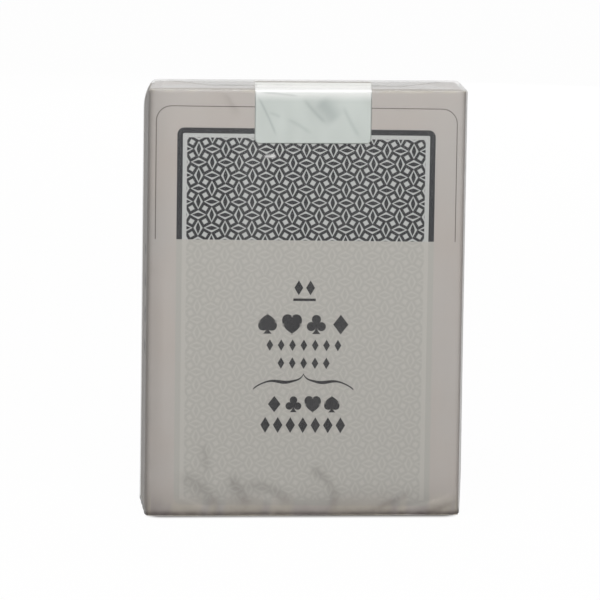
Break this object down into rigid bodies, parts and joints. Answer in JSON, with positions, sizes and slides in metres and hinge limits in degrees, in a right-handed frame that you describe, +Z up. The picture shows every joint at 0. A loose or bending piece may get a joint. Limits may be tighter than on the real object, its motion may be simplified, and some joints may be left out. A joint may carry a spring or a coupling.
{
  "type": "playing card deck",
  "caption": "Sealed deck of plastic poker cards in a folded tuck box with a lid, dust flaps and a paper seal, wrapped in clear film that comes off at its upper end.",
  "frame": {"origin": "centre of the lower end, on the surface that the deck stands on", "axes": "+Z up along the cards' height, -Y out of the printed front panel, +X to the right as seen from the front"},
  "size_m": [0.0666, 0.02, 0.0916],
  "materials": {
    "board": "satin printed board, warm pale grey",
    "cards": "smooth white plastic with printed faces and backs",
    "seal": "glossy silver-white label, slightly wrinkled",
    "film": "clear, glossy, wrinkled wrap"
  },
  "bodies": {
    "carton": {"front_panel": "board", "back_panel": "board", "left_side_panel": "board", "right_side_panel": "board", "glue_flap": "board", "bottom_panel": "board", "bottom_tuck_tab": "board", "bottom_left_flap": "board", "bottom_right_flap": "board", "seal_front": "seal", "film_sleeve": "film", "film_bottom_fold": "film"},
    "lid": {"lid_panel": "board", "seal_top": "seal"},
    "tuck_tab": {"tuck_tab": "board"},
    "left_dust_flap": {"left_dust_flap": "board"},
    "right_dust_flap": {"right_dust_flap": "board"},
    "film_top": {"film_top_fold": "film", "film_top_skirt": "film"},
    "spade_packet": {"spade_cards": "cards"},
    "heart_packet": {"heart_cards": "cards"},
    "club_packet": {"club_cards": "cards"},
    "diamond_packet": {"diamond_cards": "cards"},
    "joker_packet": {"joker_cards": "cards"},
    "spare_packet": {"spare_card": "cards"}
  },
  "joints": [
    {"name": "spade_slide", "type": "slide", "parent": "carton", "child": "spade_packet", "axis": [0, 0, 1], "range_m": [0, 0.012]},
    {"name": "heart_slide", "type": "slide", "parent": "carton", "child": "heart_packet", "axis": [0, 0, 1], "range_m": [0, 0.0108]},
    {"name": "club_slide", "type": "slide", "parent": "carton", "child": "club_packet", "axis": [0, 0, 1], "range_m": [0, 0.0096]},
    {"name": "diamond_slide", "type": "slide", "parent": "carton", "child": "diamond_packet", "axis": [0, 0, 1], "range_m": [0, 0.0084]},
    {"name": "joker_slide", "type": "slide", "parent": "carton", "child": "joker_packet", "axis": [0, 0, 1], "range_m": [0, 0.0072]},
    {"name": "spare_slide", "type": "slide", "parent": "carton", "child": "spare_packet", "axis": [0, 0, 1], "range_m": [0, 0.006]},
    {"name": "lid_hinge", "type": "hinge", "parent": "carton", "child": "lid", "pos_m": [0, 0.00962, 0.091], "axis": [-1, 0, 0], "range_deg": [0, 170]},
    {"name": "tab_fold", "type": "hinge", "parent": "lid", "child": "tuck_tab", "pos_m": [0, -0.00822, 0.0908], "axis": [1, 0, 0], "range_deg": [0, 68]},
    {"name": "left_flap_hinge", "type": "hinge", "parent": "carton", "child": "left_dust_flap", "pos_m": [-0.0329, 0, 0.0905], "axis": [0, -1, 0], "range_deg": [0, 127.5]},
    {"name": "right_flap_hinge", "type": "hinge", "parent": "carton", "child": "right_dust_flap", "pos_m": [0.0329, 0, 0.0905], "axis": [0, 1, 0], "range_deg": [0, 127.5]},
    {"name": "film_lift", "type": "slide", "parent": "carton", "child": "film_top", "axis": [0, 0, 1], "range_m": [0, 0.0624]}
  ],
  "couplings": [
    {"joint": "heart_slide", "follows": "spade_slide", "ratio": 0.9},
    {"joint": "club_slide", "follows": "spade_slide", "ratio": 0.8},
    {"joint": "diamond_slide", "follows": "spade_slide", "ratio": 0.7},
    {"joint": "joker_slide", "follows": "spade_slide", "ratio": 0.6},
    {"joint": "spare_slide", "follows": "spade_slide", "ratio": 0.5},
    {"joint": "lid_hinge", "follows": "spade_slide", "rad_per_m": 247.25},
    {"joint": "tab_fold", "follows": "spade_slide", "rad_per_m": 98.9},
    {"joint": "left_flap_hinge", "follows": "spade_slide", "rad_per_m": 185.44},
    {"joint": "right_flap_hinge", "follows": "spade_slide", "rad_per_m": 185.44},
    {"joint": "film_lift", "follows": "spade_slide", "ratio": 5.2}
  ]
}
